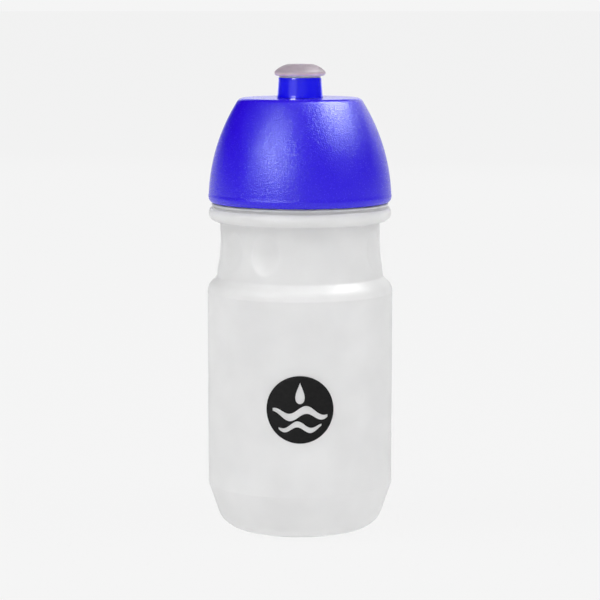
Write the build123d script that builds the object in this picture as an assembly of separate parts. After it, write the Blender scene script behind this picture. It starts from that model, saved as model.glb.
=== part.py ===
from build123d import *
import math
import os

# Sports squeeze bottle: a blow-moulded squeezable body, a screw lid with a fixed spigot,
# and a push-pull valve. Millimetres, +Z up, origin at the centre of the base.

# --- body ---------------------------------------------------------------------------------
BODY_R = 37.0              # fits a standard 74 mm bottle cage
WALL = 1.1                 # blown wall
BASE_LINE_R = 31.0         # where the base taper would meet the table
BASE_TOP = 17.8            # top of the taper
BASE_FILLET = 9.0
TAPER_FILLET = 6.0
PANEL_R = 14.0             # recessed panel under the base
PANEL_FOOT_R = 19.0
PANEL_RISE = 3.0
PANEL_FILLET = 1.5
SHOULDER_CORNER_Z = 97.58  # cylinder and 45 degree shoulder meet here before rounding
SHOULDER_FILLET = 5.5
GRIP_LOW_R = 33.3          # foot of the grip, where the shoulder ends
GRIP_LOW_Z = SHOULDER_CORNER_Z + BODY_R - GRIP_LOW_R
GRIP_TOP_R = 31.8
GRIP_TOP_Z = 121.5         # the grip wall is vertical here
CREASE_FILLET = 1.5        # shoulder to grip
BEAD_CREASE_FILLET = 0.6   # grip to bead

# --- grip dimples: two runs of four, a smooth quarter turn between them ----------------------
DIMPLE_Z = 112.5
DIMPLE_DEPTH = 1.3
DIMPLE_SPHERE_R = 22.0
DIMPLE_PITCH = 30.0
DIMPLE_RUN = 4
DIMPLE_FIRST_ANGLES = (155.0, 335.0)   # about +Z from +X

# --- bead and neck --------------------------------------------------------------------------
BEAD_R = 3.3
BEAD_CENTRE_R = 33.07
BEAD_Z = 126.75
BEAD_FOOT_Z = BEAD_Z - math.sqrt(BEAD_R**2 - (BEAD_CENTRE_R - GRIP_TOP_R) ** 2)
GROOVE_LOW_Z = 128.8       # top edge of the bead
BEAD_EDGE_R = BEAD_CENTRE_R + math.sqrt(BEAD_R**2 - (GROOVE_LOW_Z - BEAD_Z) ** 2)
GROOVE_R = 34.4
GROOVE_TOP_Z = 129.75
COLLAR_R = 35.2
COLLAR_TOP_Z = 130.55
NECK_R = 31.4
MOUTH_R = 29.6
NECK_TOP_Z = 146.5
LIP_FILLET = 0.4

# --- thread: two starts, right-handed -------------------------------------------------------
THREAD_STARTS = 2
THREAD_LEAD = 8.0
THREAD_TURNS = 0.75
THREAD_HEIGHT = 1.6        # radial height of either ridge
THREAD_ROOT_WIDTH = 1.6
THREAD_CREST_WIDTH = 0.8
THREAD_EMBED = 0.5         # how far a ridge is rooted in its wall
NECK_THREAD_Z = 136.0      # centre of the ridge at its lower end
LID_THREAD_DROP = 2.0      # lid ridges run this far below the neck ridges

# --- lid -----------------------------------------------------------------------------------
RIM_Z = 130.95
RIM_R = 36.58
RIM_FILLET = 1.7
DOME_R = 75.0              # the outer wall is one arc that starts upright near the rim
DOME_START_Z = 131.0
LID_WALL = 2.0
DECK_Z = 172.4
DECK_THICK = 2.2
DECK_FILLET = 3.0
SKIRT_BORE_R = 33.4
RIM_BORE_R = 34.6
RIM_BORE_TOP_Z = 133.0
SEAT_RIB_R = 31.4          # rib that presses the gasket on the lip of the neck
SEAT_RIB_THICK = 1.8
SEAT_RIB_TOP_Z = 158.0

# --- gasket -----------------------------------------------------------------------------------
GASKET_THICK = 1.6
GASKET_R = 32.8
GASKET_BORE_R = 28.9
SEAT_GAP = 0.05

# --- spigot, moulded with the lid -----------------------------------------------------------
SPIGOT_R = 6.0
SPIGOT_BORE_R = 4.4
FLANGE_R = 6.8
FLANGE_LOW_Z = 180.8
FLANGE_THICK = 0.6
SEAL_HEIGHT = 1.4
SEAL_GROOVE_R = 5.3
SEAL_FILLET = 0.4
SEAL_RUNNING_GAP = 0.05
PLUG_R = 2.2
PLUG_TIP_Z = 185.1
PLUG_TIP_FILLET = 0.9
PLUG_HEIGHT = 3.7
SPOKES = 3
SPOKE_WIDTH = 1.4
SPOKE_HEIGHT = 2.0
SPOKE_EMBED = 0.3

# --- push-pull valve -----------------------------------------------------------------------
SLEEVE_Z = 172.5
SLEEVE_R = 9.2
SLEEVE_SHOULDER_Z = 180.4
SLEEVE_SHOULDER_R = 8.6
SLEEVE_WAIST_R = 8.82      # the sides are slightly hollow
SLEEVE_WAIST_Z = 176.9
SLEEVE_EDGE_FILLET = 0.6
SLEEVE_BORE_R = 7.1
SLEEVE_LIP_R = 6.25        # snaps under the spigot flange, stops the pull
SLEEVE_LIP_TOP_Z = 174.1
CARRIER_R = 7.9            # tube that carries the mouthpiece
CARRIER_TOP_Z = 183.6
BARB_R = 8.4
BARB_LOW_Z = 181.9
BARB_TOP_Z = 182.7
MOUTHPIECE_NECK_R = 8.2
MOUTHPIECE_Z = 180.4
MOUTHPIECE_ROLL_R = 1.1     # rounded lip of the mushroom
MOUTHPIECE_ROLL_CENTRE_R = 9.05
MOUTHPIECE_ROLL_Z = 182.2
MOUTHPIECE_TOP_Z = 185.6
MOUTHPIECE_FLAT_R = 4.9
MOUTHPIECE_ROOF_Z = 183.9
MOUTHPIECE_HOLE_R = 2.28


def spin(section):
    """Turn a flat (radius, height) section into a solid of revolution."""
    return revolve(Plane.XZ * section, Axis.Z)


def ring(inner_r, outer_r, low_z, top_z):
    """A plain ring with square edges."""
    half = (top_z - low_z) / 2
    tube = Cylinder(outer_r, 2 * half) - Cylinder(inner_r, 4 * half)
    return Pos(0, 0, low_z + half) * tube


def disc(radius, low_z, top_z):
    """A plain disc."""
    height = top_z - low_z
    return Pos(0, 0, low_z + height / 2) * Cylinder(radius, height)


def corner_fillet(section, corner, radius):
    """Round the one vertex of a section that lies at corner."""
    spot = section.vertices().sort_by_distance(Vector(corner[0], corner[1], 0))[0]
    return fillet(spot, radius)


def thread_ridges(root_r, outward, low_z):
    """Helical ridges for every start, rooted in the wall at root_r."""
    side = 1 if outward else -1
    inner = root_r - side * THREAD_EMBED
    outer = root_r + side * THREAD_HEIGHT
    path = Helix(pitch=THREAD_LEAD, height=THREAD_LEAD * THREAD_TURNS, radius=root_r)
    section = make_face(Polyline(
        (inner, -THREAD_ROOT_WIDTH / 2),
        (outer, -THREAD_CREST_WIDTH / 2),
        (outer, THREAD_CREST_WIDTH / 2),
        (inner, THREAD_ROOT_WIDTH / 2),
        close=True,
    ))
    ridge = sweep(Plane.XZ * section, path=path, is_frenet=True)
    ridges = []
    for start in range(THREAD_STARTS):
        turn = Rot(0, 0, start * 360 / THREAD_STARTS)
        ridges.append(Pos(0, 0, low_z) * turn * ridge)
    return ridges


def body_outline():
    """The outer skin from the base centre to the top of the bead, as one open line."""
    lower = FilletPolyline(
        (0, PANEL_RISE),
        (PANEL_R, PANEL_RISE),
        (PANEL_FOOT_R, 0),
        (BASE_LINE_R, 0),
        (BODY_R, BASE_TOP),
        (BODY_R, SHOULDER_CORNER_Z),
        (GRIP_LOW_R, GRIP_LOW_Z),
        radius=[PANEL_FILLET, PANEL_FILLET, BASE_FILLET, TAPER_FILLET, SHOULDER_FILLET],
    )
    rise = Line((GRIP_TOP_R, GRIP_TOP_Z), (GRIP_TOP_R, BEAD_FOOT_Z))
    bead = ThreePointArc(
        (GRIP_TOP_R, BEAD_FOOT_Z),
        (BEAD_CENTRE_R + BEAD_R, BEAD_Z),
        (BEAD_EDGE_R, GROOVE_LOW_Z),
    )
    outline = Wire(lower.edges() + grip_arc().edges() + rise.edges() + bead.edges())
    crease = Vector(GRIP_LOW_R, GRIP_LOW_Z, 0)
    outline = outline.fillet_2d(CREASE_FILLET, outline.vertices().sort_by_distance(crease)[:1])
    bead_foot = Vector(GRIP_TOP_R, BEAD_FOOT_Z, 0)
    foot_corner = outline.vertices().sort_by_distance(bead_foot)[:1]
    return outline.fillet_2d(BEAD_CREASE_FILLET, foot_corner)


def grip_arc():
    """The waisted wall of the grip, upright at its top."""
    return TangentArc((GRIP_TOP_R, GRIP_TOP_Z), (GRIP_LOW_R, GRIP_LOW_Z), tangent=(0, -1))


def dimple_spots():
    """Centres of the dimple spheres, square to the grip wall at DIMPLE_Z."""
    drop = GRIP_TOP_Z - DIMPLE_Z
    curve = (GRIP_LOW_R - GRIP_TOP_R) / (GRIP_TOP_Z - GRIP_LOW_Z) ** 2
    lean = math.atan(2 * curve * drop)
    stand_off = DIMPLE_SPHERE_R - DIMPLE_DEPTH
    reach = GRIP_TOP_R + curve * drop**2 + stand_off * math.cos(lean)
    height = DIMPLE_Z + stand_off * math.sin(lean)
    spots = []
    for first in DIMPLE_FIRST_ANGLES:
        for step in range(DIMPLE_RUN):
            angle = math.radians(first + step * DIMPLE_PITCH)
            spots.append(Pos(reach * math.cos(angle), reach * math.sin(angle), height))
    return spots


def bottle_body():
    """Thin blown shell with a dimpled grip, a hollow bead and a threaded neck."""
    skin = offset(body_outline(), WALL, side=Side.LEFT, closed=True)
    shell = spin(make_face(skin))
    core = Polyline(
        (GRIP_LOW_R, GRIP_LOW_Z), (0, GRIP_LOW_Z), (0, GRIP_TOP_Z), (GRIP_TOP_R, GRIP_TOP_Z)
    )
    filled = spin(make_face(grip_arc().edges() + core.edges()))
    grip_band = disc(BODY_R, GRIP_LOW_Z, GRIP_TOP_Z)
    for spot in dimple_spots():
        inside = (spot * Sphere(DIMPLE_SPHERE_R)) & grip_band
        outside = (spot * Sphere(DIMPLE_SPHERE_R + WALL)) & filled
        shell = shell - inside + (outside - inside)
    neck = neck_finish()
    for ridge in thread_ridges(NECK_R, True, NECK_THREAD_Z):
        neck += ridge
    return shell + neck


def neck_finish():
    """Collar and plain neck above the bead, with a flat lip for the gasket."""
    section = make_face(Polyline(
        (MOUTH_R, GROOVE_LOW_Z - WALL),
        (BEAD_EDGE_R, GROOVE_LOW_Z - WALL),
        (BEAD_EDGE_R, GROOVE_LOW_Z),
        (GROOVE_R, GROOVE_LOW_Z),
        (GROOVE_R, GROOVE_TOP_Z),
        (COLLAR_R, GROOVE_TOP_Z),
        (COLLAR_R, COLLAR_TOP_Z),
        (NECK_R, COLLAR_TOP_Z),
        (NECK_R, NECK_TOP_Z),
        (MOUTH_R, NECK_TOP_Z),
        close=True,
    ))
    section = corner_fillet(section, (NECK_R, NECK_TOP_Z), LIP_FILLET)
    section = corner_fillet(section, (MOUTH_R, NECK_TOP_Z), LIP_FILLET)
    return spin(section)


def dome_r(inset, height):
    """Radius of the lid's outer arc at a height, moved in by inset."""
    rise = height - DOME_START_Z
    return RIM_R - DOME_R + math.sqrt((DOME_R - inset) ** 2 - rise**2)


def dome_section(inset, low_z, top_z):
    """Filled section under the lid's outer arc, moved in by inset."""
    low = (dome_r(inset, low_z), low_z)
    top = (dome_r(inset, top_z), top_z)
    side = RadiusArc(low, top, inset - DOME_R)
    rest = Polyline(top, (0, top_z), (0, low_z), low)
    return make_face(side.edges() + rest.edges())


def lid_shell():
    """Domed outer wall and flat deck, with the gasket rib inside."""
    section = dome_section(0, RIM_Z, DECK_Z)
    section = corner_fillet(section, (dome_r(0, RIM_Z), RIM_Z), RIM_FILLET)
    section = corner_fillet(section, (dome_r(0, DECK_Z), DECK_Z), DECK_FILLET)
    outside = spin(section)
    seat_z = NECK_TOP_Z + GASKET_THICK + 2 * SEAT_GAP
    inside = spin(dome_section(LID_WALL, seat_z, DECK_Z - DECK_THICK))
    skirt_bore = disc(SKIRT_BORE_R, RIM_Z, seat_z)
    rim_bore = disc(RIM_BORE_R, RIM_Z, RIM_BORE_TOP_Z)
    rib = ring(SEAT_RIB_R - SEAT_RIB_THICK, SEAT_RIB_R, seat_z, SEAT_RIB_TOP_Z)
    return outside - inside - skirt_bore - rim_bore + (rib & outside)


def spigot():
    """Fixed post with a seal groove and a central plug held on spokes."""
    low_z = DECK_Z - DECK_THICK
    groove_low_z = FLANGE_LOW_Z + FLANGE_THICK
    groove_top_z = groove_low_z + SEAL_HEIGHT
    top_z = groove_top_z + FLANGE_THICK
    post = disc(SPIGOT_R, low_z, FLANGE_LOW_Z)
    post += disc(FLANGE_R, FLANGE_LOW_Z, top_z)
    post -= ring(SEAL_GROOVE_R, 2 * FLANGE_R, groove_low_z, groove_top_z)
    post -= disc(SPIGOT_BORE_R, low_z, top_z)
    plug = disc(PLUG_R, PLUG_TIP_Z - PLUG_HEIGHT, PLUG_TIP_Z)
    plug = fillet(plug.edges().sort_by(Axis.Z)[-1], PLUG_TIP_FILLET)
    spoke_low_z = top_z - SPOKE_HEIGHT
    span = SPIGOT_BORE_R + SPOKE_EMBED
    for index in range(SPOKES):
        spoke = Pos(span / 2, 0, spoke_low_z + SPOKE_HEIGHT / 2) * Box(
            span, SPOKE_WIDTH, SPOKE_HEIGHT
        )
        plug += Rot(0, 0, 90 + index * 360 / SPOKES) * spoke
    return post + plug


def lid_cap():
    """Screw lid: dome, deck, inner thread and spigot in one moulding."""
    cap = lid_shell()
    cap -= disc(SPIGOT_BORE_R, DECK_Z - DECK_THICK, DECK_Z)
    cap += spigot()
    for ridge in thread_ridges(SKIRT_BORE_R, False, NECK_THREAD_Z - LID_THREAD_DROP):
        cap += ridge
    return cap


def lid_gasket():
    """Flat sealing ring between the lip of the neck and the lid's rib."""
    low_z = NECK_TOP_Z + SEAT_GAP
    return ring(GASKET_BORE_R, GASKET_R, low_z, low_z + GASKET_THICK)


def spigot_seal():
    """Soft ring in the spigot's groove, wiping the bore of the sleeve."""
    low_z = FLANGE_LOW_Z + FLANGE_THICK
    seal = ring(SEAL_GROOVE_R, SLEEVE_BORE_R - SEAL_RUNNING_GAP, low_z, low_z + SEAL_HEIGHT)
    outer_edges = seal.edges().filter_by(GeomType.CIRCLE).group_by(SortBy.RADIUS)[-1]
    return fillet(outer_edges, SEAL_FILLET)


def pull_sleeve():
    """Rigid collar that slides on the spigot, with the tube that carries the mouthpiece."""
    side = ThreePointArc(
        (SLEEVE_R, SLEEVE_Z),
        (SLEEVE_WAIST_R, SLEEVE_WAIST_Z),
        (SLEEVE_SHOULDER_R, SLEEVE_SHOULDER_Z),
    )
    rest = Polyline(
        (SLEEVE_SHOULDER_R, SLEEVE_SHOULDER_Z),
        (CARRIER_R, SLEEVE_SHOULDER_Z),
        (CARRIER_R, BARB_LOW_Z),
        (BARB_R, BARB_LOW_Z),
        (CARRIER_R, BARB_TOP_Z),
        (CARRIER_R, CARRIER_TOP_Z),
        (SLEEVE_BORE_R, CARRIER_TOP_Z),
        (SLEEVE_BORE_R, SLEEVE_LIP_TOP_Z),
        (SLEEVE_LIP_R, SLEEVE_LIP_TOP_Z),
        (SLEEVE_LIP_R, SLEEVE_Z),
        (SLEEVE_R, SLEEVE_Z),
    )
    section = make_face(side.edges() + rest.edges())
    shoulder = (SLEEVE_SHOULDER_R, SLEEVE_SHOULDER_Z)
    section = corner_fillet(section, shoulder, SLEEVE_EDGE_FILLET)
    return spin(section)


def mouthpiece(sleeve):
    """Soft mushroom moulded over the carrier tube, with a drinking hole for the plug."""
    under_z = MOUTHPIECE_ROLL_Z - MOUTHPIECE_ROLL_R
    under = Polyline(
        (0, MOUTHPIECE_Z),
        (MOUTHPIECE_NECK_R, MOUTHPIECE_Z),
        (MOUTHPIECE_NECK_R, under_z),
        (MOUTHPIECE_ROLL_CENTRE_R, under_z),
    )
    turn = MOUTHPIECE_ROLL_R / math.sqrt(2)
    roll_end = (MOUTHPIECE_ROLL_CENTRE_R + turn, MOUTHPIECE_ROLL_Z + turn)
    lip = ThreePointArc(
        (MOUTHPIECE_ROLL_CENTRE_R, under_z),
        (MOUTHPIECE_ROLL_CENTRE_R + MOUTHPIECE_ROLL_R, MOUTHPIECE_ROLL_Z),
        roll_end,
    )
    crown = TangentArc(roll_end, (MOUTHPIECE_FLAT_R, MOUTHPIECE_TOP_Z), tangent=(-1, 1))
    roof = Polyline(
        (MOUTHPIECE_FLAT_R, MOUTHPIECE_TOP_Z),
        (0, MOUTHPIECE_TOP_Z),
        (0, MOUTHPIECE_Z),
    )
    soft = spin(make_face(under.edges() + lip.edges() + crown.edges() + roof.edges()))
    soft -= disc(SLEEVE_BORE_R, MOUTHPIECE_Z, MOUTHPIECE_ROOF_Z)
    soft -= disc(MOUTHPIECE_HOLE_R, MOUTHPIECE_ROOF_Z, MOUTHPIECE_TOP_Z)
    return soft - sleeve


def main():
    os.makedirs("parts", exist_ok=True)
    sleeve = pull_sleeve()
    nodes = {
        "bottle_body": bottle_body(),
        "lid_cap": lid_cap(),
        "lid_gasket": lid_gasket(),
        "spigot_seal": spigot_seal(),
        "pull_sleeve": sleeve,
        "mouthpiece": mouthpiece(sleeve),
    }
    for name, shape in nodes.items():
        export_step(shape, f"parts/{name}.step")
        print(name, round(shape.volume, 1), len(shape.solids()), shape.is_valid)


main()
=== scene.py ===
import math

import bmesh
import bpy
import numpy as np
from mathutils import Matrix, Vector, geometry


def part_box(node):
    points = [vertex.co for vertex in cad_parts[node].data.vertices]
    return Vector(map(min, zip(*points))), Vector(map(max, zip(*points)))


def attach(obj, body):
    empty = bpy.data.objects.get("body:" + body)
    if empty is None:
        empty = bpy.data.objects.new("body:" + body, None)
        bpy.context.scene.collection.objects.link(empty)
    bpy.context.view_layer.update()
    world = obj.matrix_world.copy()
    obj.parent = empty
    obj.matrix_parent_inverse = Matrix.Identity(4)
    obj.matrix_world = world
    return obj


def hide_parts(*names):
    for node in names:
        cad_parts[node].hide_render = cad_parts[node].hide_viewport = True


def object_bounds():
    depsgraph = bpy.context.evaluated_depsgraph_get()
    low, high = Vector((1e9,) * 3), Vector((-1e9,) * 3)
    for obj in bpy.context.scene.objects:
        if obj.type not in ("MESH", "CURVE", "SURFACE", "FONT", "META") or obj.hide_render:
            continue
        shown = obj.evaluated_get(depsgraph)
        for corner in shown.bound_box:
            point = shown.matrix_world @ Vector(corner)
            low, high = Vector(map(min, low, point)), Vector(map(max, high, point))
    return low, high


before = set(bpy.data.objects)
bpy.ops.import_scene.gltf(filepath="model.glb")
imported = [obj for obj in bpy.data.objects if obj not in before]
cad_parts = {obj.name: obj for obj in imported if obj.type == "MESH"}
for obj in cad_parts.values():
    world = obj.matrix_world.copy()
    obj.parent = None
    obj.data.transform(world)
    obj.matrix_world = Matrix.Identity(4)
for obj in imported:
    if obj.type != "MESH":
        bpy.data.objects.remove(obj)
cad_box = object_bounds()

MM = 0.001
SEGMENTS = 324             # round the big mouldings; puts a segment on each seam
SMALL_SEGMENTS = 128       # round the valve and the seals
PLUG_SEGMENTS = 64
SHARP_EDGE = math.radians(38)     # faces that meet more steeply keep a hard edge
FINE_FACET = math.radians(11)     # turn of each facet of a fillet
COARSE_FACET = math.radians(30)   # the same on fillets too small to see
SMALL_FILLET = 0.35
AXIS_R = 0.001             # closes to a point on the axis
FLOOR_Z = cad_box[0][2]


# --- outlines: dense (radius, height) points in millimetres ---------------------------------------

def straight(start, end, step):
    """Points from start up to, but not with, end."""
    count = max(1, round(math.dist(start, end) / step))
    return [
        (start[0] + (end[0] - start[0]) * k / count, start[1] + (end[1] - start[1]) * k / count)
        for k in range(count)
    ]


def arc(centre, radius, first, last, count):
    """Points on an arc, both ends included; angles in degrees from the outward direction."""
    return [
        (
            centre[0] + radius * math.cos(math.radians(first + (last - first) * k / count)),
            centre[1] + radius * math.sin(math.radians(first + (last - first) * k / count)),
        )
        for k in range(count + 1)
    ]


def corner_arc(before, corner, after, radius):
    """Points of the fillet of one corner, or the corner itself where radius is 0."""
    here = Vector(corner)
    back = (Vector(before) - here).normalized()
    ahead = (Vector(after) - here).normalized()
    if radius == 0:
        return [tuple(here)]
    half = back.angle(ahead) / 2
    reach = radius / math.tan(half)
    centre = here + (back + ahead).normalized() * (radius / math.sin(half))
    start = here + back * reach - centre
    turn = start.angle_signed(here + ahead * reach - centre)
    facet = FINE_FACET if radius > SMALL_FILLET else COARSE_FACET
    count = max(3, math.ceil(abs(turn) / facet))
    points = []
    for k in range(count + 1):
        swing = -turn * k / count
        points.append((
            centre.x + start.x * math.cos(swing) - start.y * math.sin(swing),
            centre.y + start.x * math.sin(swing) + start.y * math.cos(swing),
        ))
    return points


def rounded(corners, step, closed=False):
    """Outline through (radius, height, fillet) corners, with straight runs cut into steps."""
    count = len(corners)
    arcs = []
    for k, corner in enumerate(corners):
        if not closed and k in (0, count - 1):
            arcs.append([corner[:2]])
            continue
        before = corners[k - 1][:2]
        after = corners[(k + 1) % count][:2]
        arcs.append(corner_arc(before, corner[:2], after, corner[2]))
    points = []
    for k, bend in enumerate(arcs):
        points += bend[:-1]
        if closed or k < count - 1:
            following = arcs[(k + 1) % count]
            points += straight(bend[-1], following[0], step)
        else:
            points.append(bend[-1])
    return points


def offset_inward(points, distance):
    """The outline moved to its left-hand side by distance."""
    moved = []
    for k, point in enumerate(points):
        before = Vector(points[max(0, k - 1)])
        after = Vector(points[min(len(points) - 1, k + 1)])
        along = (after - before).normalized()
        moved.append((point[0] - along.y * distance, point[1] + along.x * distance))
    return moved


# --- meshes ---------------------------------------------------------------------------------------

def lathe(name, outline, segments, shape=None, closed=True):
    """Turn an outline into a mesh. shape(angle, radius, height) gives the radius it takes."""
    outline = np.array(outline)
    angles = np.arange(segments) * 2 * math.pi / segments
    radius = np.repeat(outline[None, :, 0], segments, axis=0)
    height = np.repeat(outline[None, :, 1], segments, axis=0)
    angle = np.repeat(angles[:, None], len(outline), axis=1)
    if shape is not None:
        radius = shape(angle, radius, height)
    grid = np.stack([radius * np.cos(angle), radius * np.sin(angle), height], axis=-1) * MM
    rows = len(outline)
    verts = grid.reshape(-1, 3)
    here = np.arange(segments)[:, None] * rows + np.arange(rows)[None, :]
    there = np.roll(here, -1, axis=0)
    last = rows if closed else rows - 1
    up = np.roll(here, -1, axis=1)[:, :last]
    up_there = np.roll(there, -1, axis=1)[:, :last]
    quads = np.stack([here[:, :last], there[:, :last], up_there, up], axis=-1).reshape(-1, 4)
    mesh = bpy.data.meshes.new(name)
    mesh.from_pydata(verts.tolist(), [], quads.tolist())
    solid = bmesh.new()
    solid.from_mesh(mesh)
    bmesh.ops.remove_doubles(solid, verts=solid.verts, dist=1e-6)
    bmesh.ops.recalc_face_normals(solid, faces=solid.faces)
    solid.to_mesh(mesh)
    solid.free()
    return finish_mesh(name, mesh)


def shade(mesh):
    """Smooth shading with the hard edges kept."""
    mesh.shade_smooth()
    mesh.set_sharp_from_angle(angle=SHARP_EDGE)


def finish_mesh(name, mesh):
    """A shaded object of a mesh."""
    shade(mesh)
    piece = bpy.data.objects.new(name, mesh)
    bpy.context.scene.collection.objects.link(piece)
    return piece


def smooth_step(low, high, value):
    """0 below low, 1 above high, and a smooth rise between them."""
    t = np.clip((value - low) / (high - low), 0, 1)
    return t * t * (3 - 2 * t)


# --- sizes of the body in millimetres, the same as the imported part's ------------------------------

BODY_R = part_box("bottle_body")[1].x / MM
BODY_TOP_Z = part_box("bottle_body")[1].z / MM
WALL = 1.1
PANEL_R = 14.0             # recessed panel under the base
PANEL_FOOT_R = 19.0
PANEL_RISE = 3.0
PANEL_FILLET = 1.5
BASE_LINE_R = 31.0         # where the base taper would meet the table
BASE_FILLET = 9.0
BASE_TOP_Z = 17.8
TAPER_FILLET = 6.0
SHOULDER_CORNER_Z = 97.58  # cylinder and 45 degree shoulder meet here before rounding
SHOULDER_FILLET = 5.5
BASE_STEP = 3.2            # longest straight step from the base to the grip
GRIP_R = 31.8
GRIP_FOOT_R = 33.3
GRIP_FOOT_Z = SHOULDER_CORNER_Z + BODY_R - GRIP_FOOT_R
GRIP_TOP_Z = 121.5
GRIP_ROWS = 36
CREASE_ROWS = 3            # grip rows that the crease at the shoulder takes up
CREASE_FILLET = 1.4
BEAD_CENTRE = (33.07, 126.75)
BEAD_R = 3.3
BEAD_ROWS = 22
BEAD_CREASE_FILLET = 0.6
GROOVE_Z = 128.8
GROOVE_R = 34.4
COLLAR_LOW_Z = 129.75
COLLAR_TOP_Z = 130.55
COLLAR_R = 35.2
COLLAR_FILLET = 0.2
EDGE_FILLET = 0.15
NECK_R = 31.4
MOUTH_R = 29.6
LIP_FILLET = 0.4
THROAT_FILLET = 1.2        # inside, where the neck widens behind the bead
NECK_STEP = 0.5            # fine enough for the thread

PARTING_Z = (18.3, 95.2)   # where the mould's base and shoulder inserts meet its sides
LINE_HALF = 0.24           # half the width of a line that a mould leaves
LINE_LIFT = 0.07           # how far it stands up
LINE_CLEAR = 1.3 * LINE_HALF
SEAM_ANGLES = (20, 200)    # where the two halves of the mould meet
SEAM_START_R = (5, 20)     # the seam rises between these radii under the base

DIMPLE_Z = 112.5
DIMPLE_HALF_WIDTH = 5.85
DIMPLE_HALF_HEIGHT = 8.1
DIMPLE_DEPTH = 1.35
DIMPLE_SOFT = 0.07         # depth over which a dimple's rim is softened
DIMPLE_PITCH = 30
DIMPLE_RUN = 4
DIMPLE_FIRST = (155, 335)
DIMPLE_ANGLES = [
    first + DIMPLE_PITCH * step for first in DIMPLE_FIRST for step in range(DIMPLE_RUN)
]

THREAD_LEAD = 8.0
THREAD_STARTS = 2
THREAD_TURNS = 0.75
THREAD_HEIGHT = 1.6
THREAD_HALF_CREST = 0.217  # half the width of a ridge's flat top
THREAD_FLANK = 0.62        # height along the axis over which a flank rises
NECK_THREAD_Z = 136.0
LID_THREAD_Z = 134.0


def dimple_depth(angle, height):
    """How deep the grip's oval dimples are at each point: a scoop with a soft rim."""
    depth = np.zeros_like(angle)
    for centre in DIMPLE_ANGLES:
        turn = np.angle(np.exp(1j * (angle - math.radians(centre))))
        across = turn * GRIP_R / DIMPLE_HALF_WIDTH
        along = (height - DIMPLE_Z) / DIMPLE_HALF_HEIGHT
        reach = np.sqrt(across**2 + along**2)
        scoop = DIMPLE_DEPTH * (1 - reach**2)
        rim = (scoop + DIMPLE_SOFT) ** 2 / (4 * DIMPLE_SOFT)
        scoop = np.where(np.abs(scoop) <= DIMPLE_SOFT, rim, np.maximum(scoop, 0))
        depth = np.maximum(depth, scoop)
    return depth


def thread_rise(angle, height, low_z):
    """0 to 1 across the helical ridges, which fade out at both ends."""
    rise = np.zeros_like(angle)
    for start in range(THREAD_STARTS):
        turn = np.mod(angle - 2 * math.pi * start / THREAD_STARTS, 2 * math.pi)
        for lap in (0, 1):
            travel = turn / (2 * math.pi) + lap
            centre = low_z + THREAD_LEAD * travel
            off_crest = np.abs(height - centre) - THREAD_HALF_CREST
            flank = np.clip(1 - off_crest / THREAD_FLANK, 0, 1)
            ends = smooth_step(-0.02, 0.03, travel) * (
                1 - smooth_step(THREAD_TURNS - 0.04, THREAD_TURNS + 0.01, travel)
            )
            rise = np.maximum(rise, flank * ends)
    return rise


# --- bottle body ----------------------------------------------------------------------------------

def raise_line(points, height):
    """The outline's outer side with a thin raised line, such as a mould leaves, at a height."""
    side_r = BODY_R - 8
    rising = [point for point in points if point[0] > side_r]
    heights = [point[1] for point in rising]
    radii = [point[0] for point in rising]
    line = [
        (float(np.interp(height - LINE_HALF, heights, radii)), height - LINE_HALF),
        (float(np.interp(height, heights, radii)) + LINE_LIFT, height),
        (float(np.interp(height + LINE_HALF, heights, radii)), height + LINE_HALF),
    ]
    below = [p for p in points if p[0] <= side_r or p[1] < height - LINE_CLEAR]
    above = [p for p in points if p[0] > side_r and p[1] > height + LINE_CLEAR]
    return below + line + above


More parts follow.
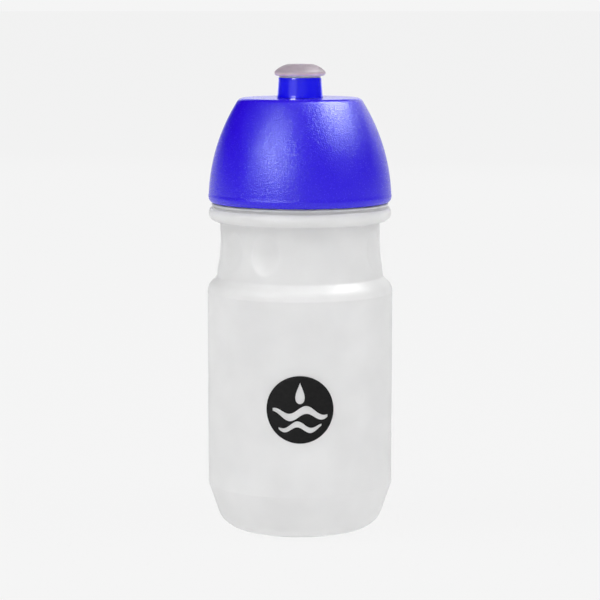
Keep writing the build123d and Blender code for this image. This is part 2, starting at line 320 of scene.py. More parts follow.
def body_outline():
    """Outer skin, groove, collar, neck and lip, then back down the inner skin to the axis."""
    base = rounded([
        (AXIS_R, PANEL_RISE, 0), (PANEL_R, PANEL_RISE, PANEL_FILLET),
        (PANEL_FOOT_R, 0, PANEL_FILLET), (BASE_LINE_R, 0, BASE_FILLET),
        (BODY_R, BASE_TOP_Z, TAPER_FILLET), (BODY_R, SHOULDER_CORNER_Z, SHOULDER_FILLET),
        (GRIP_FOOT_R, GRIP_FOOT_Z, 0),
    ], BASE_STEP)
    for height in PARTING_Z:
        base = raise_line(base, height)
    curve = (GRIP_FOOT_R - GRIP_R) / (GRIP_TOP_Z - GRIP_FOOT_Z) ** 2
    grip = []
    for k in range(GRIP_ROWS + 1):
        height = GRIP_FOOT_Z + (GRIP_TOP_Z - GRIP_FOOT_Z) * k / GRIP_ROWS
        grip.append((GRIP_R + curve * (GRIP_TOP_Z - height) ** 2, height))
    soft_crease = rounded(
        [(*base[-2], 0), (*base[-1], CREASE_FILLET), (*grip[CREASE_ROWS], 0)], 1.0
    )
    foot = math.degrees(math.asin((GRIP_R - BEAD_CENTRE[0]) / BEAD_R)) - 90
    edge = math.degrees(math.asin((GROOVE_Z - BEAD_CENTRE[1]) / BEAD_R))
    bead = arc(BEAD_CENTRE, BEAD_R, foot, edge, BEAD_ROWS)
    bead_crease = rounded(
        [(*grip[-1], 0), (*bead[0], BEAD_CREASE_FILLET), (*bead[CREASE_ROWS], 0)], 1.0
    )
    skin = base[:-2] + soft_crease[:-1] + grip[CREASE_ROWS:-1]
    skin += bead_crease[:-1] + bead[CREASE_ROWS:]
    ceiling = GROOVE_Z - WALL
    neck = rounded([
        (*bead[-1], 0), (GROOVE_R, GROOVE_Z, 0.25), (GROOVE_R, COLLAR_LOW_Z, EDGE_FILLET),
        (COLLAR_R, COLLAR_LOW_Z, EDGE_FILLET), (COLLAR_R, COLLAR_TOP_Z, COLLAR_FILLET),
        (NECK_R, COLLAR_TOP_Z, 0.5), (NECK_R, BODY_TOP_Z, LIP_FILLET),
        (MOUTH_R, BODY_TOP_Z, LIP_FILLET), (MOUTH_R, ceiling, THROAT_FILLET),
        (BEAD_CENTRE[0] + 0.6, ceiling, 0),
    ], NECK_STEP)
    # the plain bore of the neck needs no rows between its ends
    neck = [
        point for point in neck
        if point[0] > MOUTH_R + 0.01 or not GROOVE_Z + 0.5 < point[1] < BODY_TOP_Z - 1
    ]
    # the inner skin has every second row of the outer one
    inner = offset_inward(skin, WALL)[::2]
    inner = [point for point in inner if point[1] < ceiling - 0.1]
    inner[0] = (AXIS_R, inner[0][1])
    return skin[:-1] + neck + inner[::-1]


def body_shape(angle, radius, height):
    """Dimples in both skins, the mould's seams, and the thread outside the neck."""
    in_grip = (height > GRIP_FOOT_Z + 1) & (height < GRIP_TOP_Z)
    shaped = radius - np.where(in_grip, dimple_depth(angle, height), 0)
    seam_lift = LINE_LIFT * smooth_step(*SEAM_START_R, radius)
    for seam in SEAM_ANGLES:
        on_seam = np.abs(angle - math.radians(seam)) < 0.2 * 2 * math.pi / SEGMENTS
        shaped = shaped + np.where(on_seam & (height < GROOVE_Z - 1), seam_lift, 0)
    on_neck = (radius > NECK_R - 0.01) & (height > COLLAR_TOP_Z + 1)
    return shaped + np.where(on_neck, THREAD_HEIGHT * thread_rise(angle, height, NECK_THREAD_Z), 0)


# --- lid ------------------------------------------------------------------------------------------

RIM_Z = 130.95
RIM_R = 36.58
DOME_ARC_R = 75.0
DOME_START_Z = 131.0
DECK_Z = 172.4
DECK_FILLET = 3.0
RIM_ROUND = (1.75, 2.8)    # how far the rounding of the rim reaches in and up
RIM_LINE_Z = 132.3         # thin raised line round the rim
RIM_BORE_R = 34.6
RIM_BORE_TOP_Z = 133.0
DOME_LOW_Z = 134.2         # rows of the dome run between these heights
DOME_HIGH_Z = 170.0
DOME_ROWS = 42
DOME_INSET = 0.08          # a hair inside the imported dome
DECK_THICK = 2.2
LID_WALL = 2.0
SKIRT_BORE_R = 33.4
SEAT_Z = 148.2
SEAT_RIB_R = 31.4          # rib that presses the gasket on the lip of the neck
SEAT_RIB_BORE_R = 29.6
SEAT_RIB_TOP_Z = 158.0
SEAT_GAP_LOW_Z = 149.0     # the ring-shaped gap between the rib and the dome
SEAT_GAP_TOP_Z = 152.2
SPIGOT_R = 6.0
SPIGOT_BORE_R = 4.4
FLANGE_R = 6.8
FLANGE_Z = 180.8
SEAL_Z = 181.4
SEAL_TOP_Z = 182.8
SEAL_GROOVE_R = 5.3
SPIGOT_TOP_Z = 183.4
MOULD_EDGE = 0.1           # fillet of a small moulded edge
PLUG_R = 2.2
PLUG_DROP = 2.0            # the plug starts this far below the top of the spigot
PLUG_TIP_FILLET = 0.9
SPOKES = 3
SPOKE_WIDTH = 1.4
SPOKE_HEIGHT = 1.8
SPOKE_EDGE = 0.2


def dome_r(inset, height):
    """Radius of the lid's outer arc, moved in by inset."""
    arc_r = DOME_ARC_R - inset
    return RIM_R - DOME_ARC_R + math.sqrt(arc_r**2 - (height - DOME_START_Z) ** 2)


def dome_points(inset, low_z, top_z, count):
    """Points up the lid's arc."""
    heights = [low_z + (top_z - low_z) * k / count for k in range(count + 1)]
    return [(dome_r(inset, height), height) for height in heights]


def lid_outline():
    """Rim, dome, deck and spigot outside, then the bore, the deck's underside and the skirt."""
    foot = rounded([
        (RIM_BORE_R, RIM_BORE_TOP_Z, 0), (RIM_BORE_R, RIM_Z, 0.3),
        (RIM_R - RIM_ROUND[0], RIM_Z, 0),
    ], 0.6)
    rim = []
    for turn in range(0, 91, 9):
        rim.append((
            RIM_R - RIM_ROUND[0] * (1 - math.sin(math.radians(turn))),
            RIM_Z + RIM_ROUND[1] * (1 - math.cos(math.radians(turn))),
        ))
    rim = raise_line(rim, RIM_LINE_Z)
    dome = dome_points(DOME_INSET, DOME_LOW_Z, DOME_HIGH_Z, DOME_ROWS)
    under_z = DECK_Z - DECK_THICK
    deck = rounded([
        (*dome[-2], 0), (dome_r(0, DECK_Z), DECK_Z, DECK_FILLET), (SPIGOT_R, DECK_Z, 0.3),
        (SPIGOT_R, FLANGE_Z, MOULD_EDGE), (FLANGE_R, FLANGE_Z, MOULD_EDGE),
        (FLANGE_R, SEAL_Z, MOULD_EDGE), (SEAL_GROOVE_R, SEAL_Z, MOULD_EDGE),
        (SEAL_GROOVE_R, SEAL_TOP_Z, MOULD_EDGE), (FLANGE_R, SEAL_TOP_Z, MOULD_EDGE),
        (FLANGE_R, SPIGOT_TOP_Z, EDGE_FILLET), (SPIGOT_BORE_R, SPIGOT_TOP_Z, EDGE_FILLET),
        (SPIGOT_BORE_R, under_z, 0.3), (dome_r(LID_WALL, under_z), under_z, 0),
    ], 1.5)
    under = dome_points(LID_WALL, under_z, SEAT_RIB_TOP_Z + 0.6, 14)
    gap_edge_z = SEAT_GAP_TOP_Z - 1.0
    seat = rounded([
        (*under[-1], 0), (SEAT_RIB_BORE_R, SEAT_RIB_TOP_Z, 0.4),
        (SEAT_RIB_BORE_R, SEAT_Z, EDGE_FILLET), (SEAT_RIB_R, SEAT_Z, EDGE_FILLET),
        (SEAT_RIB_R, SEAT_GAP_TOP_Z, MOULD_EDGE),
        (dome_r(LID_WALL, gap_edge_z), gap_edge_z, MOULD_EDGE),
        (dome_r(LID_WALL, SEAT_GAP_LOW_Z), SEAT_GAP_LOW_Z, 0.2), (SKIRT_BORE_R, SEAT_Z, 0.2),
        (SKIRT_BORE_R, RIM_BORE_TOP_Z, MOULD_EDGE), (RIM_BORE_R, RIM_BORE_TOP_Z, 0),
    ], 0.4)
    return foot[:-1] + rim + dome[:-2] + deck[:-1] + under[:-1] + seat[:-1]


def lid_shape(angle, radius, height):
    """The inner thread, standing in from the bore of the skirt."""
    on_bore = np.abs(radius - SKIRT_BORE_R) < 0.02
    on_bore &= (height > RIM_BORE_TOP_Z + 0.05) & (height < SEAT_Z - 1.2)
    return radius - np.where(on_bore, THREAD_HEIGHT * thread_rise(angle, height, LID_THREAD_Z), 0)


def spoked_plug():
    """The plug that closes the drinking hole, with the three spokes that hold it."""
    low_z = SPIGOT_TOP_Z - PLUG_DROP
    tip_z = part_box("lid_cap")[1].z / MM
    outline = rounded([
        (AXIS_R, low_z, 0), (PLUG_R, low_z, 0.3), (PLUG_R, tip_z, PLUG_TIP_FILLET),
        (AXIS_R, tip_z, 0),
    ], 0.4)
    plug = lathe("lid_plug", outline, PLUG_SEGMENTS, closed=False)
    solid = bmesh.new()
    solid.from_mesh(plug.data)
    spoke_start = 1.4
    spoke_end = SPIGOT_BORE_R + 0.3
    for index in range(SPOKES):
        angle = math.radians(90 + 360 / SPOKES * index)
        spoke = bmesh.ops.create_cube(solid, size=1.0)["verts"]
        for vert in spoke:
            along = spoke_start + (vert.co.x + 0.5) * (spoke_end - spoke_start)
            across = vert.co.y * SPOKE_WIDTH
            vert.co = Vector((
                along * math.cos(angle) - across * math.sin(angle),
                along * math.sin(angle) + across * math.cos(angle),
                low_z + SPOKE_HEIGHT * (0.5 + vert.co.z),
            )) * MM
        edges = {edge for vert in spoke for edge in vert.link_edges}
        bmesh.ops.bevel(
            solid, geom=list(edges), offset=SPOKE_EDGE * MM, segments=3, affect="EDGES",
            profile=0.5,
        )
    solid.to_mesh(plug.data)
    solid.free()
    shade(plug.data)
    return plug


# --- valve and seals ------------------------------------------------------------------------------

SLEEVE_Z = 172.5
SLEEVE_R = 9.2
SLEEVE_WAIST_R = 8.82
SLEEVE_TOP_R = 8.6
SLEEVE_TOP_Z = 180.4
SLEEVE_WAIST_Z = 176.9
SLEEVE_FOOT_BORE_R = 6.25  # the lip at the foot runs on the spigot below its flange
SLEEVE_LIP_TOP_Z = 174.1
SLEEVE_BORE_R = 7.1
CARRIER_R = 7.9            # the thin tube that carries the mouthpiece
CARRIER_TOP_Z = 183.6
BARB_R = 8.4
BARB_Z = 181.9
BARB_TOP_Z = 182.7

ROLL_CENTRE = (9.05, 182.2)     # section of the mouthpiece's rolled lip
ROLL_R = 1.1
CROWN_END = (4.9, 185.6)
CROWN_BOW = 0.39           # how far the crown bulges over a straight line
CROWN_ROWS = 14
HOLE_R = 2.28
CROWN_UNDER_Z = 183.9
GASKET_BORE_R = 28.9
MOUTHPIECE_NECK_R = 8.2
MOUTHPIECE_NECK_TOP_Z = 181.1
OVERMOULD_GAP = 0.02       # keeps the two materials' skins apart


def sleeve_outline():
    """Slightly hollow sides, a rounded shoulder, the carrier tube and the stepped bore."""
    return rounded([
        (SLEEVE_FOOT_BORE_R, SLEEVE_Z, EDGE_FILLET), (SLEEVE_R, SLEEVE_Z, EDGE_FILLET),
        (SLEEVE_R, SLEEVE_Z + 0.25, MOULD_EDGE), (SLEEVE_R - 0.13, SLEEVE_Z + 0.9, 1.0),
        (SLEEVE_WAIST_R, SLEEVE_WAIST_Z, 12.0), (SLEEVE_TOP_R, SLEEVE_TOP_Z, 0.4),
        (CARRIER_R, SLEEVE_TOP_Z, MOULD_EDGE), (CARRIER_R, BARB_Z, 0), (BARB_R, BARB_Z, 0.05),
        (CARRIER_R, BARB_TOP_Z, 0), (CARRIER_R, CARRIER_TOP_Z, MOULD_EDGE),
        (SLEEVE_BORE_R, CARRIER_TOP_Z, MOULD_EDGE),
        (SLEEVE_BORE_R, SLEEVE_LIP_TOP_Z, MOULD_EDGE),
        (SLEEVE_FOOT_BORE_R, SLEEVE_LIP_TOP_Z, EDGE_FILLET),
    ], 0.5, closed=True)


def mouthpiece_outline():
    """Soft mushroom: short neck, rolled lip, domed crown, flat top and the drinking hole."""
    lip = arc(ROLL_CENTRE, ROLL_R, -90, 45, CROWN_ROWS)
    start = Vector(lip[-1])
    chord = Vector(CROWN_END) - start
    outward = Vector((chord.y, -chord.x)).normalized()
    crown = []
    for k in range(1, CROWN_ROWS):
        t = k / CROWN_ROWS
        crown.append(tuple(start + chord * t + outward * (CROWN_BOW * 4 * t * (1 - t))))
    tube_r = CARRIER_R + OVERMOULD_GAP
    tube_top_z = CARRIER_TOP_Z + OVERMOULD_GAP
    foot_z = SLEEVE_TOP_Z + OVERMOULD_GAP
    top = rounded([
        (*crown[-1], 0), (*CROWN_END, 0.9), (HOLE_R, CROWN_END[1], 0.35),
        (HOLE_R, CROWN_UNDER_Z, 0.25), (SLEEVE_BORE_R, CROWN_UNDER_Z, 0.2),
        (SLEEVE_BORE_R, tube_top_z, 0), (tube_r, tube_top_z, 0), (tube_r, BARB_TOP_Z, 0),
        (BARB_R + OVERMOULD_GAP, BARB_Z, 0), (tube_r, BARB_Z - OVERMOULD_GAP, 0),
        (tube_r, foot_z, 0), (MOUTHPIECE_NECK_R, foot_z, MOULD_EDGE),
        (MOUTHPIECE_NECK_R, MOUTHPIECE_NECK_TOP_Z, 0.3), (*lip[0], 0),
    ], 0.4)
    return lip + crown[:-1] + top[:-1]


def box_ring(node, inner_r, fillet, step):
    """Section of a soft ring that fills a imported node's own height and outside radius."""
    low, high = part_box(node)
    outer_r, low_z, top_z = high.x / MM, low.z / MM, high.z / MM
    return rounded([
        (inner_r, low_z, fillet), (outer_r, low_z, fillet),
        (outer_r, top_z, fillet), (inner_r, top_z, fillet),
    ], step, closed=True)


# --- print: a dark disc with a water drop and waves left open -------------------------------------

PRINT_CENTRE_Z = 53.2
PRINT_R = 13.3
PRINT_RIM_POINTS = 120
INK_LIFT = 0.03
INK_SPACING = 0.8          # between the points inside the print, which follow the body's curve
WAVE_POINTS = 60


def wave_outline(level, swing, length, start, end, thick, phase):
    """Closed outline of one wave stroke that thins out to round ends."""
    upper = []
    lower = []
    for k in range(WAVE_POINTS + 1):
        t = k / WAVE_POINTS
        x = start + (end - start) * t
        y = level + swing * math.sin(2 * math.pi * x / length + phase)
        half = thick / 2 * math.sin(math.pi * min(1, max(0, 0.04 + 0.92 * t))) ** 0.55
        upper.append((x, y + half))
        lower.append((x, y - half))
    return upper + lower[::-1]


def drop_outline(centre, size, count):
    """Closed outline of a water drop, pointed at the top."""
    points = []
    for k in range(count):
        t = 2 * math.pi * k / count
        x = size * 0.62 * math.sin(t) * math.sin(t / 2) ** 1.5
        y = size * math.cos(t)
        points.append((centre[0] + x, centre[1] + y))
    return points


def inside(point, outline):
    """True if a flat point lies inside a closed outline."""
    x, y = point
    hit = False
    for (ax, ay), (bx, by) in zip(outline, outline[1:] + outline[:1]):
        if (ay > y) != (by > y) and x < (bx - ax) * (y - ay) / (by - ay) + ax:
            hit = not hit
    return hit


def print_disc():
    """The inked area as a thin skin that follows the curve of the body."""
    rim = arc((0, 0), PRINT_R, 0, 360, PRINT_RIM_POINTS)[:-1]
    openings = [
        drop_outline((0, 6.5), 4.2, 48),
        wave_outline(-1.5, 1.5, 13.0, -10.8, 10.8, 3.2, 0.4),
        wave_outline(-6.9, 1.2, 10.5, -8.4, 8.4, 2.4, 2.2),
    ]
    points = []
    edges = []
    for outline in [rim, *openings]:
        first = len(points)
        points += outline
        edges += [(first + k, first + (k + 1) % len(outline)) for k in range(len(outline))]
    reach = int(PRINT_R / INK_SPACING) + 1
    for i in range(-reach, reach + 1):
        for j in range(-reach, reach + 1):
            spot = (INK_SPACING * (i + 0.4 * (j % 2)), INK_SPACING * j)
            if math.hypot(*spot) < PRINT_R - 0.4:
                points.append(spot)
    flat = [Vector(point) for point in points]
    verts, _, faces, _, _, _ = geometry.delaunay_2d_cdt(flat, edges, [], 0, 1e-6)
    inked = []
    for face in faces:
        middle = sum((verts[k] for k in face), Vector((0, 0))) / len(face)
        if middle.length < PRINT_R and not any(inside(middle, o) for o in openings):
            inked.append(face)
    radius = BODY_R + INK_LIFT
    wrapped = [
        Vector((radius * math.sin(v.x / radius), -radius * math.cos(v.x / radius),
                PRINT_CENTRE_Z + v.y)) * MM
        for v in verts
    ]
    mesh = bpy.data.meshes.new("print_disc")
    mesh.from_pydata(wrapped, [], [tuple(face) for face in inked])
    solid = bmesh.new()
    solid.from_mesh(mesh)
    loose = [vert for vert in solid.verts if not vert.link_faces]
    bmesh.ops.delete(solid, geom=loose, context="VERTS")
    bmesh.ops.recalc_face_normals(solid, faces=solid.faces)
    if sum(face.normal.y for face in solid.faces) > 0:
        bmesh.ops.reverse_faces(solid, faces=solid.faces)
    solid.to_mesh(mesh)
    solid.free()
    disc = finish_mesh("print_disc", mesh)
    skin = disc.modifiers.new("thickness", "SOLIDIFY")
    skin.thickness = 2 * INK_LIFT * MM
    skin.offset = -1
    return disc


# --- materials ------------------------------------------------------------------------------------

PATTERN_RANGE = (0.3, 0.7)  # the part of a noise's range that colour and roughness follow
MIX_COLOUR_A, MIX_COLOUR_B, MIX_COLOUR_OUT = 6, 7, 2   # the Mix node's colour sockets


def new_material(name):
    """A material with a Principled shader; returns it with its tree and the shader."""
    material = bpy.data.materials.new(name)
    material.use_nodes = True
    tree = material.node_tree
    shader = next(node for node in tree.nodes if node.type == "BSDF_PRINCIPLED")
    return material, tree, shader


def add(tree, kind, **values):
    """A node with its named inputs and settings filled in."""
    node = tree.nodes.new(kind)
    for key, value in values.items():
        if key in node.inputs:
            node.inputs[key].default_value = value
        else:
            setattr(node, key, value)
    return node


def object_noise(tree, scale, detail=3.0, roughness=0.5):
    """Noise that is fixed to the piece; scale is in cycles per metre."""
    coordinates = add(tree, "ShaderNodeTexCoord")
    texture = add(tree, "ShaderNodeTexNoise", Scale=scale, Detail=detail, Roughness=roughness)
    tree.links.new(coordinates.outputs["Object"], texture.inputs["Vector"])
    return texture.outputs["Fac"]


def object_height(tree):
    """The height of the shaded point on its piece, in metres."""
    coordinates = add(tree, "ShaderNodeTexCoord")
    split = add(tree, "ShaderNodeSeparateXYZ")
    tree.links.new(coordinates.outputs["Object"], split.inputs["Vector"])
    return split.outputs["Z"]


def ramp(tree, pattern, *colours):
    """Colour that follows a pattern from one display colour to another."""
    node = add(tree, "ShaderNodeValToRGB")
    for element, position, colour in zip(node.color_ramp.elements, PATTERN_RANGE, colours):
        element.position = position
        element.color = (*srgb(*colour), 1)
    tree.links.new(pattern, node.inputs["Fac"])
    return node.outputs["Color"]


def spread(tree, value, low, high, to_low, to_high):
    """The value mapped from one range to another."""
    node = add(tree, "ShaderNodeMapRange")
    node.inputs["From Min"].default_value = low
    node.inputs["From Max"].default_value = high
    node.inputs["To Min"].default_value = to_low
    node.inputs["To Max"].default_value = to_high
    tree.links.new(value, node.inputs["Value"])
    return node.outputs["Result"]


def roughen(tree, shader, pattern, low, high):
    """Roughness that follows a pattern from low to high."""
    tree.links.new(spread(tree, pattern, *PATTERN_RANGE, low, high), shader.inputs["Roughness"])


def bump(tree, shader, *heights):
    """Chain of (height output, distance in millimetres, strength) bumps into the shader."""
    last = None
    for height, distance, strength in heights:
        node = add(tree, "ShaderNodeBump", Distance=distance * MM, Strength=strength)
        tree.links.new(height, node.inputs["Height"])
        if last is not None:
            tree.links.new(last, node.inputs["Normal"])
        last = node.outputs["Normal"]
    tree.links.new(last, shader.inputs["Normal"])


def set_inputs(shader, **values):
    """Constants on the shader's own sockets; an underscore stands for a space."""
    for name, value in values.items():
        shader.inputs[name.replace("_", " ")].default_value = value


def srgb(red, green, blue):
    """Linear colour of an 8-bit display colour."""
    return tuple(
        (c / 255 / 12.92) if c <= 10 else ((c / 255 + 0.055) / 1.055) ** 2.4
        for c in (red, green, blue)
    )


def body_material():
    """Milky natural polyethylene."""
    material, tree, shader = new_material("natural_polyethylene")
    cloud = object_noise(tree, 45.0, 2.0)
    colour = ramp(tree, cloud, (237, 237, 237), (247, 247, 247))
    tree.links.new(colour, shader.inputs["Base Color"])
    fine = object_noise(tree, 900.0, 3.0)
    roughen(tree, shader, fine, 0.42, 0.5)
    set_inputs(
        shader, IOR=1.5, Specular_IOR_Level=0.03, Coat_Weight=0.022, Coat_Roughness=0.17,
        Transmission_Weight=0.45, Subsurface_Weight=0.8, Subsurface_Radius=(1.0, 1.0, 1.0),
        Subsurface_Scale=2.5 * MM,
    )
    wave = object_noise(tree, 60.0, 2.0)
    bump(tree, shader, (wave, 0.25, 0.5), (fine, 0.01, 0.5))
    return material


def lid_material():
    """Blue moulded plastic with a spark-eroded grain, which the deck has hardly any of."""
    material, tree, shader = new_material("blue_grained_plastic")
    grain = object_noise(tree, 2100.0, 2.0, 0.6)
    colour = ramp(tree, grain, (32, 2, 196), (42, 4, 216))
    tree.links.new(colour, shader.inputs["Base Color"])
    roughen(tree, shader, grain, 0.22, 0.28)
    # Specular_Tint gives the lid's reflections a painted cool tint, the colour of cool lamplight that
    # the white lamps don't give.
    set_inputs(shader, Specular_IOR_Level=0.5, Specular_Tint=(0.86, 0.98, 1.0, 1))
    smooth_deck = add(tree, "ShaderNodeMath", operation="MULTIPLY")
    tree.links.new(grain, smooth_deck.inputs[0])
    fade_low, fade_high = (DECK_Z - 1.2) * MM, (DECK_Z - 0.1) * MM
    tree.links.new(
        spread(tree, object_height(tree), fade_low, fade_high, 1, 0.1), smooth_deck.inputs[1]
    )
    bump(tree, shader, (smooth_deck.outputs[0], 0.175, 1.0))
    return material


def sleeve_material():
    """Blue moulded plastic, smooth."""
    material, tree, shader = new_material("blue_smooth_plastic")
    cloud = object_noise(tree, 120.0, 2.0)
    colour = ramp(tree, cloud, (9, 2, 230), (12, 3, 238))
    tree.links.new(colour, shader.inputs["Base Color"])
    fine = object_noise(tree, 1500.0, 2.0)
    roughen(tree, shader, fine, 0.13, 0.18)
    set_inputs(shader, IOR=1.7, Specular_IOR_Level=1.0)
    bump(tree, shader, (fine, 0.006, 0.4))
    return material


def mouthpiece_material():
    """Soft translucent mauve elastomer, with a painted glow on the neck and under the lip."""
    material, tree, shader = new_material("mauve_elastomer")
    cloud = object_noise(tree, 260.0, 3.0)
    crown = ramp(tree, cloud, (146, 134, 144), (158, 146, 156))
    # lip is a painted glow: pale cream painted where light shines through the thin rubber, and
    # against the shade under the lip.
    lip = ramp(tree, cloud, (244, 222, 208), (252, 232, 216))
    blend = add(tree, "ShaderNodeMix", data_type="RGBA")
    # the painted glow fills the neck and fades out up the rolled lip
    painted_glow_low, painted_glow_high = 180.9 * MM, 182.6 * MM
    tree.links.new(
        spread(tree, object_height(tree), painted_glow_low, painted_glow_high, 1, 0), blend.inputs["Factor"]
    )
    tree.links.new(crown, blend.inputs[MIX_COLOUR_A])
    tree.links.new(lip, blend.inputs[MIX_COLOUR_B])
    tree.links.new(blend.outputs[MIX_COLOUR_OUT], shader.inputs["Base Color"])
    fine = object_noise(tree, 2600.0, 2.0)
    roughen(tree, shader, fine, 0.5, 0.62)
    set_inputs(
        shader, Subsurface_Weight=1.0, Subsurface_Radius=(1.0, 0.75, 0.9),
        Subsurface_Scale=2.5 * MM,
    )
    bump(tree, shader, (fine, 0.02, 0.4))
    return material


def gasket_material():
    """White soft rubber."""
    material, tree, shader = new_material("white_gasket_rubber")
    cloud = object_noise(tree, 300.0, 3.0)
    colour = ramp(tree, cloud, (226, 226, 224), (238, 238, 236))
    tree.links.new(colour, shader.inputs["Base Color"])
    fine = object_noise(tree, 2600.0, 2.0)
    roughen(tree, shader, fine, 0.5, 0.65)
    bump(tree, shader, (fine, 0.02, 0.4))
    return material


def ink_material():
    """Dark screen-printing ink with a faint grain."""
    material, tree, shader = new_material("black_ink")
    cloud = object_noise(tree, 700.0, 3.0)
    colour = ramp(tree, cloud, (18, 18, 19), (24, 24, 24))
    tree.links.new(colour, shader.inputs["Base Color"])
    fine = object_noise(tree, 3000.0, 2.0)
    roughen(tree, shader, fine, 0.45, 0.6)
    set_inputs(shader, Specular_IOR_Level=0.12)
    bump(tree, shader, (fine, 0.01, 0.4))
    return material


# --- pieces ---------------------------------------------------------------------------------------

def place(piece, material, body, slot, *nodes):
    """Give a piece its material and its body, and hide the imported nodes it stands for; slot is not
    used.
    """
    piece.data.materials.append(material)
    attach(piece, body)
    if nodes:
        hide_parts(*nodes)
    return piece


body_plastic = body_material()
lid_plastic = lid_material()
sleeve_plastic = sleeve_material()
mouthpiece_rubber = mouthpiece_material()
gasket_rubber = gasket_material()

bottle = lathe("bottle_shell", body_outline(), SEGMENTS, body_shape, closed=False)
place(bottle, body_plastic, "bottle", "body_plastic", "bottle_body")
place(print_disc(), ink_material(), "bottle", "body_plastic")

gasket = lathe("neck_gasket", box_ring("lid_gasket", GASKET_BORE_R, 0.35, 0.8), SEGMENTS)
place(gasket, gasket_rubber, "gasket_ring", "gasket_rubber", "lid_gasket")

lid = lathe("lid_dome", lid_outline(), SEGMENTS, lid_shape)
place(lid, lid_plastic, "lid", "lid_plastic", "lid_cap")
place(spoked_plug(), sleeve_plastic, "lid", "lid_plastic")
seal = lathe("spigot_ring", box_ring("spigot_seal", SEAL_GROOVE_R, 0.3, 0.3), SMALL_SEGMENTS)
place(seal, gasket_rubber, "lid", "gasket_rubber", "spigot_seal")

sleeve = lathe("valve_sleeve", sleeve_outline(), SMALL_SEGMENTS)
place(sleeve, sleeve_plastic, "valve", "sleeve_plastic", "pull_sleeve")
teat = lathe("valve_mouthpiece", mouthpiece_outline(), SMALL_SEGMENTS)
place(teat, mouthpiece_rubber, "valve", "mouthpiece_rubber", "mouthpiece")


# --- floor, light and camera ----------------------------------------------------------------------

BACKGROUND = srgb(245, 245, 245)[0]
ZENITH = 0.15              # strength of the surroundings overhead
HORIZON_FADE = (0.03, 0.16)     # upward slope over which they dim
FLOOR_ALBEDO = 0.03
FLOOR_GLOW = 0.88
FLOOR_RADIUS = 60.0
FLOOR_GAP = 0.00001        # keeps flat things at the base from sharing one plane
LIGHT_AIM_Z = 0.14


def studio_floor():
    """A wide pale floor that the bottle stands on, lit evenly like a light table."""
    mesh = bpy.data.meshes.new("floor")
    solid = bmesh.new()
    bmesh.ops.create_circle(solid, cap_ends=True, radius=FLOOR_RADIUS, segments=96)
    solid.to_mesh(mesh)
    solid.free()
    floor = bpy.data.objects.new("floor", mesh)
    bpy.context.scene.collection.objects.link(floor)
    floor.location.z = FLOOR_Z - 2 * FLOOR_GAP
    material, _, shader = new_material("pale_floor")
    set_inputs(
        shader, Base_Color=(FLOOR_ALBEDO, FLOOR_ALBEDO, FLOOR_ALBEDO, 1), Roughness=1.0,
        Specular_IOR_Level=0.0, Emission_Color=(1, 1, 1, 1), Emission_Strength=FLOOR_GLOW,
    )
    mesh.materials.append(material)


def soft_light(name, azimuth, elevation, distance, size, power, diffuse=True, glossy=True):
    """A softbox at a bearing from the front (positive is to the right), aimed at the bottle.

    Angles are in degrees, distance and size in metres, power in watts. Without diffuse it only
    makes highlights, and without glossy it makes none.
    """
    bearing, climb = math.radians(azimuth), math.radians(elevation)
    toward = Vector((
        math.sin(bearing) * math.cos(climb), -math.cos(bearing) * math.cos(climb), math.sin(climb)
    ))
    lamp = bpy.data.lights.new(name, "AREA")
    lamp.shape = "RECTANGLE"
    lamp.size, lamp.size_y = size
    lamp.energy = power
    holder = bpy.data.objects.new(name, lamp)
    holder.location = Vector((0, 0, LIGHT_AIM_Z)) + toward * distance
    holder.rotation_euler = toward.to_track_quat("Z", "Y").to_euler()
    holder.visible_camera = False
    holder.visible_diffuse = diffuse
    holder.visible_glossy = glossy
    bpy.context.scene.collection.objects.link(holder)


def light_table(radius, power):
    """A glowing disc under the bottle that lights it from below."""
    lamp = bpy.data.lights.new("light_table", "AREA")
    lamp.shape = "DISK"
    lamp.size = 2 * radius
    lamp.energy = power
    holder = bpy.data.objects.new("light_table", lamp)
    holder.location = (0, 0, FLOOR_Z - FLOOR_GAP)
    holder.rotation_euler = (math.pi, 0, 0)
    holder.visible_camera = False
    holder.visible_glossy = False
    bpy.context.scene.collection.objects.link(holder)


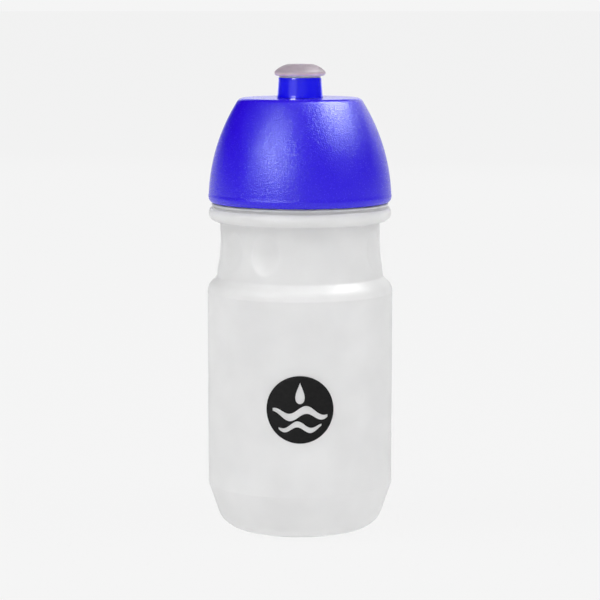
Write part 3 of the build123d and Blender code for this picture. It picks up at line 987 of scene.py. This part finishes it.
def studio_world():
    """Surroundings as pale as the floor near the horizon and dimmer overhead, not mirrored."""
    world = bpy.data.worlds.new("studio")
    bpy.context.scene.world = world
    world.use_nodes = True
    tree = world.node_tree
    shade = next(node for node in tree.nodes if node.type == "BACKGROUND")
    coordinates = add(tree, "ShaderNodeTexCoord")
    split = add(tree, "ShaderNodeSeparateXYZ")
    tree.links.new(coordinates.outputs["Generated"], split.inputs["Vector"])
    strength = spread(tree, split.outputs["Z"], *HORIZON_FADE, BACKGROUND, ZENITH)
    shade.inputs["Color"].default_value = (1, 1, 1, 1)
    tree.links.new(strength, shade.inputs["Strength"])
    world.cycles_visibility.glossy = False


CAMERA_DISTANCE = 0.9
CAMERA_HEIGHT = 0.2095
CAMERA_DROP = 7.48         # degrees below level
CAMERA_LENS = 135.6


def studio_camera():
    """A long lens a little above the lid, looking slightly down."""
    lens = bpy.data.cameras.new("camera")
    lens.lens = CAMERA_LENS
    lens.sensor_width = 36.0
    lens.clip_end = 200.0
    holder = bpy.data.objects.new("camera", lens)
    holder.location = (0, -CAMERA_DISTANCE, CAMERA_HEIGHT)
    holder.rotation_euler = (math.radians(90 - CAMERA_DROP), 0, 0)
    bpy.context.scene.collection.objects.link(holder)
    bpy.context.scene.camera = holder


studio_floor()
studio_world()
soft_light("left_softbox", -38, 27, 1.6, (0.62, 0.24), 23.5, diffuse=False)
soft_light("right_softbox", 96, 54, 1.6, (1.1, 0.7), 66, diffuse=False)
soft_light("left_edge", -39, 6.5, 1.6, (1.3, 0.14), 0.19, diffuse=False)
soft_light("front_fill", -2, 2, 1.8, (2.4, 1.2), 15.2, glossy=False)
soft_light("left_fill", -75, 50, 1.8, (1.2, 1.2), 18, glossy=False)
soft_light("right_fill", 78, 38, 1.8, (1.2, 1.2), 12.5, glossy=False)
soft_light("top_fill", 0, 68, 1.8, (1.8, 1.8), 12.5, glossy=False)
soft_light("top_softbox", 0, 82, 1.8, (1.8, 1.0), 4, diffuse=False)
soft_light("back_softbox", 165, 16, 2.0, (2.2, 0.8), 8)
soft_light("horizon", 180, 2, 1.8, (3.0, 0.16), 1.2, diffuse=False)
light_table(0.8, 1.8)
studio_camera()
bpy.context.scene.view_settings.view_transform = "Standard"
